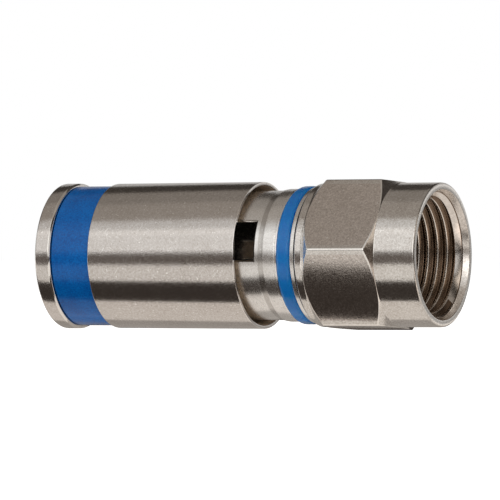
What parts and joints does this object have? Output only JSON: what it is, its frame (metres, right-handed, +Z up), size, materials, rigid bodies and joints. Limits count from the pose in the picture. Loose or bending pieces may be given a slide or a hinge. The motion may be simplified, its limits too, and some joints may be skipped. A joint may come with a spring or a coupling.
{
  "type": "f connector",
  "caption": "Male F connector for coaxial cable: free hexagon coupling nut on a flanged post, windowed body, and a compression sleeve that slides forward over it.",
  "frame": {"origin": "on the connector's axis in the reference plane, which is the front face of the post's flange inside the nut and the start of the nut's thread", "axes": "+X along the axis, out of the nut's mouth; +Z up as the connector lies on its side; +Y across"},
  "size_m": [0.032, 0.0128, 0.0116],
  "materials": {
    "nickel_body": "bright nickel plate",
    "nickel_post": "bright nickel plate",
    "nickel_nut": "satin nickel plate",
    "nickel_sleeve": "satin nickel plate",
    "blue_seal": "smooth",
    "black_seal": "smooth",
    "blue_band": "gloss",
    "ferrule_plastic": "matte"
  },
  "bodies": {
    "connector": {"connector_body": "nickel_body", "post": "nickel_post", "outer_seal_ring": "blue_seal"},
    "nut": {"coupling_nut": "nickel_nut", "inner_seal_ring": "black_seal"},
    "sleeve": {"compression_sleeve": "nickel_sleeve", "colour_band": "blue_band", "grip_ferrule": "ferrule_plastic"}
  },
  "joints": [
    {"name": "nut_spin", "type": "hinge", "parent": "connector", "child": "nut", "pos_m": [0, 0, 0], "axis": [1, 0, 0], "continuous": true},
    {"name": "sleeve_slide", "type": "slide", "parent": "connector", "child": "sleeve", "axis": [1, 0, 0], "range_m": [0, 0.00325]}
  ]
}
